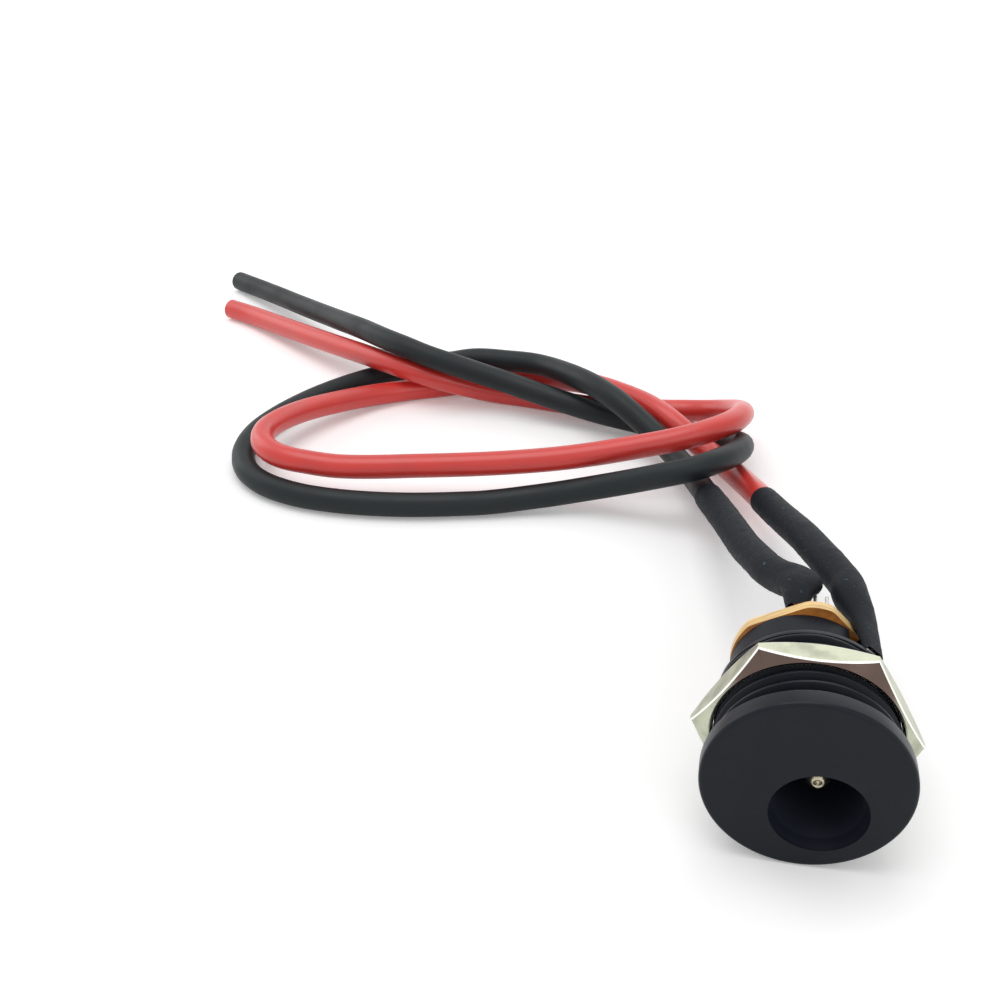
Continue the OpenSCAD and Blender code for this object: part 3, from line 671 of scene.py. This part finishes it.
def open_tube(name, sides, rings):
    """An open upright tube of unit radius and height, cut into even rings."""
    bpy.ops.object.select_all(action="DESELECT")
    bpy.ops.mesh.primitive_cylinder_add(vertices=sides, radius=1, depth=1, end_fill_type="NOTHING")
    obj = named(name)
    pick_edges(obj, lambda a, b: abs(a.z - b.z) > 0.5)
    bpy.ops.mesh.subdivide(number_cuts=rings - 2)
    bpy.ops.object.mode_set(mode="OBJECT")
    return obj


def sleeve(name, node, sections, up, material):
    """A shrunk sleeve: a tube laid along its lead, drawn in over the joint, wrinkled and given a wall."""
    rows = eased(sections, SLEEVE_RINGS, SLEEVE_PASSES)
    spots = [Vector(row[:3]) for row in rows]
    obj = open_tube(name, SLEEVE_SIDES, SLEEVE_RINGS)
    for vertex in obj.data.vertices:
        i = round((vertex.co.z + 0.5) * (SLEEVE_RINGS - 1))
        angle = math.atan2(vertex.co.y, vertex.co.x)
        *_, wide, high, power = rows[i]
        ahead = heading(spots, i, SLEEVE_REACH)
        side = ahead.cross(up).normalized()
        top = side.cross(ahead)
        across, rise = (math.copysign(abs(v) ** power, v) for v in (math.cos(angle), math.sin(angle)))
        outward = wide * across * side + high * rise * top
        spot = spots[i] + outward
        fold = noise.noise(Vector((i * WRINKLE_CHANGE, math.cos(angle), math.sin(angle)))) * WRINKLE_HEIGHT
        dent = noise.noise(spot / DENT_SIZE) * WRINKLE_HEIGHT
        vertex.co = (spot + outward.normalized() * max(0, fold + dent)) * MM
    modify(obj, "SOLIDIFY", thickness=sizes().sleeve_wall, offset=-1)
    face_outwards(obj)
    smooth(obj, 50)
    return placed(obj, node, material)


def cut_end(name, points, material):
    """The strands that show in a lead's cut end: one in the middle, ringed by six and by twelve."""
    size = sizes()
    end, ahead = points[-1], (points[-1] - points[-2]).normalized()
    side = ahead.cross(Vector((0, 0, 1))).normalized()
    top = side.cross(ahead)
    turn = Matrix((side, top, ahead)).transposed().to_4x4()
    length, sunk = 0.5 * MM, 0.22 * MM
    strands = []
    for ring, count in ((0, 1), (1, 6), (2, 12)):
        for k in range(count):
            angle = 2 * math.pi * k / count
            spot = end + (side * math.cos(angle) + top * math.sin(angle)) * ring * size.strand_step
            bpy.ops.object.select_all(action="DESELECT")
            bpy.ops.mesh.primitive_cylinder_add(vertices=10, radius=size.strand_radius, depth=length)
            strand = bpy.context.object
            strand.data.transform(Matrix.Translation(spot - ahead * sunk) @ turn)
            strands.append(strand)
    for strand in strands:
        strand.select_set(True)
    bpy.context.view_layer.objects.active = strands[0]
    bpy.ops.object.join()
    obj = named(name)
    ease_edges(obj, 0.02 * MM)
    smooth(obj)
    return placed(obj, None, material)


def strip(name, path, width, up, across, offset=0.0):
    """A sheet contact: a plane extruded from fold to fold, its folds rounded, and given a thickness.
    Its path is in (y, height) along up, in millimetres."""
    bpy.ops.object.select_all(action="DESELECT")
    bpy.ops.mesh.primitive_plane_add(size=1)
    obj = named(name)
    spots = [Vector((0, y * MM, 0)) + up * rise * MM + across * offset for y, rise in path]
    half = across * width / 2
    corners = (spots[0] - half, spots[0] + half, spots[1] - half, spots[1] + half)
    for vertex, corner in zip(obj.data.vertices, corners):
        vertex.co = corner
    for spot, following in zip(spots[1:], spots[2:]):
        pick_edges(obj, lambda a, b: ((a + b) / 2 - spot).length < SAME_SPOT)
        bpy.ops.mesh.extrude_edges_move(TRANSFORM_OT_translate={"value": following - spot})
        bpy.ops.object.mode_set(mode="OBJECT")
    pick_edges(obj, lambda a, b: any(((a + b) / 2 - fold).length < SAME_SPOT for fold in spots[1:-1]))
    bpy.ops.mesh.bevel(offset=sizes().fold_radius, segments=5, affect="EDGES")
    bpy.ops.object.mode_set(mode="OBJECT")
    face_outwards(obj)
    modify(obj, "SOLIDIFY", thickness=sizes().strip_thickness, offset=0)
    return obj


# Operators


class SOCKET_OT_stage(bpy.types.Operator):
    """Sets the floor, the lamps, the world and the camera"""

    bl_idname = "power_socket.stage"
    bl_label = "Stage"

    def execute(self, context):
        scene = context.scene
        scene.view_settings.view_transform = "Standard"
        bpy.ops.object.select_all(action="DESELECT")
        bpy.ops.mesh.primitive_circle_add(vertices=96, radius=3, fill_type="NGON", location=(0, 0, TABLE_Z))
        floor = named("floor")
        floor.data.materials.append(floor_finish())
        scene.world = self.studio()
        for name, place, aim, size, power in LAMPS:
            lamp = bpy.data.lights.new(name, "AREA")
            lamp.size, lamp.energy = size, power
            obj = bpy.data.objects.new(name, lamp)
            scene.collection.objects.link(obj)
            obj.location = place
            obj.rotation_euler = (Vector(aim) - Vector(place)).to_track_quat("-Z", "Y").to_euler()
        scene.camera = self.camera(scene)
        return {"FINISHED"}

    def studio(self):
        """A world that shows white and lights the socket more softly."""
        world = bpy.data.worlds.new("studio")
        world.use_nodes = True
        tree = world.node_tree
        background = tree.nodes["Background"]
        background.inputs["Color"].default_value = (1, 1, 1, 1)
        level = calculate(tree, "MULTIPLY_ADD", background_rays(tree), 1 - WORLD_LIGHT, WORLD_LIGHT)
        tree.links.new(level, background.inputs["Strength"])
        return world

    def camera(self, scene):
        """The camera, turned to its yaw and pitch."""
        camera = bpy.data.cameras.new("camera")
        camera.lens, camera.sensor_width = CAMERA_LENS, CAMERA_SENSOR
        camera.clip_start, camera.clip_end = 0.002, 20
        level = Vector((-math.sin(CAMERA_YAW), math.cos(CAMERA_YAW), 0))
        ahead = level * math.cos(CAMERA_PITCH) - Vector((0, 0, math.sin(CAMERA_PITCH)))
        right = Vector((math.cos(CAMERA_YAW), math.sin(CAMERA_YAW), 0))
        turn = Matrix((right, right.cross(ahead), -ahead)).transposed().to_4x4()
        obj = bpy.data.objects.new("camera", camera)
        scene.collection.objects.link(obj)
        obj.matrix_world = Matrix.Translation(CAMERA_PLACE) @ turn
        return obj


class SOCKET_OT_leads(bpy.types.Operator):
    """Lays the red and black leads with their shrunk sleeves and cut ends"""

    bl_idname = "power_socket.leads"
    bl_label = "Leads and sleeves"

    def execute(self, context):
        colour = colours()
        tubing = sleeve_finish()
        copper = metal_finish("bare_copper", colour.copper, 0.28, 0.4, 0.1 * MM)
        for side, lay, collar, up, length, finish in (
                ("red", RED_LAY, RED_COLLAR, SIDE_UP, RED_LENGTH,
                 insulation_finish("red_insulation", colour.red, 0.4, 0.55, 0.34, 0.75)),
                ("black", BLACK_LAY, BLACK_COLLAR, PIN_UP, BLACK_LENGTH,
                 insulation_finish("black_insulation", colour.black, 0.4, 0.55, 0.28, 0.0))):
            points = route(lay)
            wire = lead(side + "_lead", points, side + "_wire", finish)
            covered = [(*(point / MM), SLEEVE_RADIUS, SLEEVE_RADIUS, 1) for point in points[:SLEEVE_POINTS]]
            tube = sleeve(side + "_shrunk_sleeve", side + "_sleeve", [*collar, *covered], up, tubing)
            end = cut_end(side + "_cut_strands", points, copper)
        return {"FINISHED"}


class SOCKET_OT_housing(bpy.types.Operator):
    """Models the moulded housing: flange, helical thread, tail, plug bore, contact pockets and staked pegs"""

    bl_idname = "power_socket.housing"
    bl_label = "Housing"

    def execute(self, context):
        size = sizes()
        front, rear = HOUSING_LOW.y, PLATE_LOW.y
        housing = turned("moulded_housing", [*self.flange(size), *self.barrel(size)], 128)
        tail = turned("tail", [
            (size.thread_end - PAST, size.tail_radius), (rear - size.tail_round, size.tail_radius),
            (rear, size.tail_radius - size.tail_round)], 128, TAIL_AXIS)
        combine(housing, tail, "UNION")
        combine(housing, self.ridge(size), "UNION")
        bore = turned("bore", [
            (front - PAST, size.mouth_radius), (front, size.mouth_radius),
            (front + size.mouth_depth, size.socket_radius),
            (size.thread_end, size.socket_radius)], 96, SOCKET_AXIS)
        combine(housing, bore, "DIFFERENCE")
        clear = size.shank_radius + size.fit_gap
        hole = turned("shank_hole", [(size.thread_end - PAST, clear), (rear + PAST, clear)], 48, SOCKET_AXIS)
        combine(housing, hole, "DIFFERENCE")
        for low, high, turn in POCKETS:
            pocket = block("pocket", Vector(low) * MM, Vector(high) * MM, turn)
            combine(housing, pocket, "DIFFERENCE")
        for axis in PEG_AXES:
            combine(housing, self.peg(size, axis), "UNION")
        smooth(housing, 30)
        placed(housing, "housing", moulding_finish())
        return {"FINISHED"}

    def flange(self, size):
        """The flange's outline from its face to the barrel, with both edges rounded."""
        front, outer, lip, heel = HOUSING_LOW.y, size.flange_radius, size.edge_round, size.back_round
        face = (front, outer - lip - 0.1 * MM)
        edge = [(front + lip * (1 - math.cos(angle)), outer - lip * (1 - math.sin(angle)))
                for angle in (math.radians(15 * k) for k in range(7))]
        back = [(heel * (math.sin(angle) - 1), outer - heel * (1 - math.cos(angle)))
                for angle in (math.radians(18 * k) for k in range(6))]
        return [face, *edge, *back, (0, size.thread_root)]

    def barrel(self, size):
        """The barrel's outline: the root of the thread, then the plain rim with its eased end."""
        end, rim = size.thread_end, size.rim_radius
        return [(end - 0.6 * MM, size.thread_root), (end - 0.45 * MM, rim), (end - 0.15 * MM, rim),
                (end - 0.05 * MM, rim - 0.05 * MM), (end, rim - 0.15 * MM)]

    def peg(self, size, axis):
        """A peg that passes through the plate and is staked into a low dome."""
        top = PLATE_HIGH.y
        dome = [(top + y * MM, radius * MM) for y, radius in PEG_HEAD]
        return turned("peg", [
            (PLATE_LOW.y - PAST, size.peg_radius), (top, size.peg_radius), *dome,
            (HOUSING_HIGH.y, 0.3 * MM)], 32, axis)

    def ridge(self, size):
        """The thread's ridge: a profile wound into a helix that fades out at the rear, with eased crests."""
        bpy.ops.object.select_all(action="DESELECT")
        bpy.ops.mesh.primitive_plane_add(size=1)
        ridge = named("ridge")
        turns, steps, fade, start = 8, 72, 18, -size.thread_pitch
        root, crest = size.thread_root - 0.06 * MM, size.thread_radius
        # The profile's corners: radius, and place along the axis in pitches
        profile = ((root, -0.39), (crest, -0.1), (root, 0.39), (crest, 0.1))
        for vertex, (radius, shift) in zip(ridge.data.vertices, profile):
            vertex.co = (radius, start + shift * size.thread_pitch, 0)
        bpy.ops.object.mode_set(mode="EDIT")
        bpy.ops.mesh.select_all(action="SELECT")
        bpy.ops.mesh.delete(type="ONLY_FACE")
        bpy.ops.object.mode_set(mode="OBJECT")
        modify(ridge, "SCREW", axis="Y", screw_offset=size.thread_pitch, iterations=turns, steps=steps)
        for vertex in ridge.data.vertices:
            left = turns * steps - vertex.index // len(profile)
            radius = math.hypot(vertex.co.x, vertex.co.z)
            if left < fade and radius > size.thread_root:
                low = (size.thread_root + (crest - size.thread_root) * left / fade) / radius
                vertex.co = (vertex.co.x * low, vertex.co.y, vertex.co.z * low)
        bpy.ops.object.mode_set(mode="EDIT")
        bpy.ops.mesh.select_all(action="SELECT")
        bpy.ops.mesh.fill_holes(sides=4)
        bpy.ops.object.mode_set(mode="OBJECT")
        face_outwards(ridge)
        ease_edges(ridge, 0.05 * MM, 2, 40)
        return ridge


class SOCKET_OT_hex_nut(bpy.types.Operator):
    """Models the plated hex nut with its chamfered corners and countersunk bore"""

    bl_idname = "power_socket.hex_nut"
    bl_label = "Hex nut"

    def execute(self, context):
        size = sizes()
        front, back, flat = NUT_LOW.y, NUT_HIGH.y, NUT_HIGH.z
        corner = flat / math.cos(HALF_FLAT)
        nut = turned("plated_nut", [(front, corner), (back, corner)], 6)
        nut.data.transform(Matrix.Rotation(HALF_FLAT, 4, "Y"))
        ease = flat - size.nut_chamfer
        slope = (corner - ease) * math.tan(NUT_SLOPE)
        cones = turned("chamfer", [
            (front, ease), (front + slope, corner), (back - slope, corner), (back, ease)], 192)
        combine(nut, cones, "INTERSECT")
        sink, wide = size.nut_sink, size.nut_bore + size.nut_sink + PAST
        hole = turned("thread_hole", [
            (front - PAST, wide), (front + sink, size.nut_bore),
            (back - sink, size.nut_bore), (back + PAST, wide)], 128)
        combine(nut, hole, "DIFFERENCE")
        ease_edges(nut, size.nut_round, 3, 50)
        smooth(nut, 5)
        placed(nut, "hex_nut", nickel_finish(), "nut")
        return {"FINISHED"}


class SOCKET_OT_center_pin(bpy.types.Operator):
    """Models the turned centre pin with its dimpled tip and riveted head"""

    bl_idname = "power_socket.center_pin"
    bl_label = "Centre pin"

    def execute(self, context):
        size = sizes()
        tip, seat, head = PIN_LOW.y, size.thread_end, STRAP_LOW.y + size.strip_thickness
        pin = turned("turned_pin", [
            *((tip + y * MM, radius * MM) for y, radius in PIN_TIP),
            (seat, size.pin_radius), (seat, size.shank_radius), (head, size.shank_radius),
            *((head + y * MM, radius * MM) for y, radius in PIN_HEAD),
            (PIN_HIGH.y, 0.2 * MM)], 48, SOCKET_AXIS)
        smooth(pin, 40)
        plating = metal_finish("plated_pin", colours().pin, 0.18, 0.3, 0.15 * MM)
        placed(pin, "center_pin", plating)
        return {"FINISHED"}


class SOCKET_OT_rear_plate(bpy.types.Operator):
    """Models the laminate plate with its flats, eased edges and punched holes"""

    bl_idname = "power_socket.rear_plate"
    bl_label = "Rear plate"

    def execute(self, context):
        size = sizes()
        near, far = PLATE_LOW.y, PLATE_HIGH.y
        plate = turned("laminate_plate", [(near, size.plate_radius), (far, size.plate_radius)], 240)
        for vertex in plate.data.vertices:
            at = math.atan2(vertex.co.z, vertex.co.x)
            reach = self.reach(size, at)
            vertex.co = (reach * math.cos(at), vertex.co.y, reach * math.sin(at))
        shank, peg = size.shank_radius + size.fit_gap, size.peg_radius + size.fit_gap
        holes = [turned("shank_hole", [(near - PAST, shank), (far + PAST, shank)], 48, SOCKET_AXIS)]
        holes += [turned("peg_hole", [(near - PAST, peg), (far + PAST, peg)], 32, axis) for axis in PEG_AXES]
        middle = SWITCH_HIGH.z - size.strip_thickness / 2
        half = size.strip_thickness / 2 + size.fit_gap
        holes.append(block(
            "lug_slot", (SWITCH_LOW.x - size.fit_gap, near - PAST, middle - half),
            (SWITCH_HIGH.x + size.fit_gap, far + PAST, middle + half)))
        for hole in holes:
            combine(plate, hole, "DIFFERENCE")
        ease_edges(plate, 0.06 * MM, 2, 40)
        smooth(plate, 35)
        placed(plate, "rear_plate", laminate_finish())
        return {"FINISHED"}

    def reach(self, size, at):
        """The plate's radius at an angle: a disc and two flats that run into it without a corner."""
        reaches = [size.plate_radius]
        for angle, flat in ((PLATE_FLAT_ANGLE, size.plate_flat), (PLATE_TOP_ANGLE, size.plate_top_flat)):
            # A flat counts only within 60 degrees of its middle
            lean = math.cos(at - angle)
            reaches.append(flat / lean if lean > 0.5 else 2 * size.plate_radius)
        pull = sum(math.exp((size.plate_radius - reach) / size.plate_blend) for reach in reaches)
        return size.plate_radius - size.plate_blend * math.log(pull)


class SOCKET_OT_contacts(bpy.types.Operator):
    """Folds the side contact and the switch contact, and finishes the pin's strap, strands and solder"""

    bl_idname = "power_socket.contacts"
    bl_label = "Contacts and joints"

    def execute(self, context):
        size, colour = sizes(), colours()
        tin = metal_finish("tinned_sheet", colour.tin, 0.3, 0.46, 0.12 * MM)
        across = Vector((SIDE_UP.z, 0, -SIDE_UP.x))
        side = strip("side_strip", SIDE_FOLDS, size.side_width, SIDE_UP, across)
        self.punch(side, SIDE_UP * SIDE_LUG * MM, SIDE_UP)
        placed(side, "side_contact", tin)
        middle = (SWITCH_LOW.x + SWITCH_HIGH.x) / 2
        switch = strip("switch_strip", SWITCH_FOLDS, size.switch_width, PIN_UP, Vector((1, 0, 0)), middle)
        self.punch(switch, Vector((middle, 0, SWITCH_LUG * MM)), PIN_UP, size.lug_notch)
        placed(switch, "switch_contact", tin)
        solder = metal_finish("bright_solder", colour.solder, 0.16, 0.3, 0.2 * MM)
        strands = metal_finish("soldered_strands", colour.copper, 0.28, 0.4, 0.1 * MM)
        for node, finish in (("pin_lug", tin), ("red_strands", strands), ("black_strands", strands),
                             ("red_solder", solder), ("black_solder", solder)):
            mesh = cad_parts[node].data
            mesh.materials.clear()
            mesh.materials.append(finish)
        return {"FINISHED"}

    def punch(self, obj, lug, up, notch=0.0):
        """Punches a lug's wire hole, opens it to the lug's end where it has a notch, and eases the edges."""
        centre = lug + Vector((0, LUG_HOLE * MM, 0))
        bpy.ops.object.select_all(action="DESELECT")
        bpy.ops.mesh.primitive_cylinder_add(vertices=24, radius=sizes().hole_radius, depth=2 * PAST)
        hole = bpy.context.object
        turn = up.to_track_quat("Z", "Y").to_matrix().to_4x4()
        hole.data.transform(Matrix.Translation(centre) @ turn)
        combine(obj, hole, "DIFFERENCE")
        if notch:
            half = Vector((notch / 2, 0, PAST))
            end = lug + Vector((0, LUG_END * MM + PAST, 0))
            combine(obj, block("notch", centre - half, end + half), "DIFFERENCE")
        ease_edges(obj, 0.04 * MM, 2, 40)
        smooth(obj, 35)


class SOCKET_PT_panel(bpy.types.Panel):
    """Lists the steps that model the socket"""

    bl_idname = "SOCKET_PT_panel"
    bl_label = "Power socket"
    bl_space_type = "VIEW_3D"
    bl_region_type = "UI"
    bl_category = "Power socket"

    def draw(self, context):
        for step in STEPS:
            self.layout.operator(step.bl_idname)
        for group in (context.scene.socket_sizes, context.scene.socket_colours):
            box = self.layout.box()
            for name in group.bl_rna.properties.keys():
                if name not in ("rna_type", "name"):
                    box.prop(group, name)


STEPS = (SOCKET_OT_stage, SOCKET_OT_leads, SOCKET_OT_housing, SOCKET_OT_hex_nut, SOCKET_OT_center_pin,
         SOCKET_OT_rear_plate, SOCKET_OT_contacts)
CLASSES = (SocketSizes, SocketColours, *STEPS, SOCKET_PT_panel)


def register():
    for cls in CLASSES:
        bpy.utils.register_class(cls)
    bpy.types.Scene.socket_sizes = bpy.props.PointerProperty(type=SocketSizes)
    bpy.types.Scene.socket_colours = bpy.props.PointerProperty(type=SocketColours)


def unregister():
    del bpy.types.Scene.socket_sizes
    del bpy.types.Scene.socket_colours
    for cls in reversed(CLASSES):
        bpy.utils.unregister_class(cls)


def main():
    register()
    bpy.ops.power_socket.stage()
    bpy.ops.power_socket.leads()
    bpy.ops.power_socket.housing()
    bpy.ops.power_socket.hex_nut()
    bpy.ops.power_socket.center_pin()
    bpy.ops.power_socket.rear_plate()
    bpy.ops.power_socket.contacts()


if __name__ == "__main__":
    main()
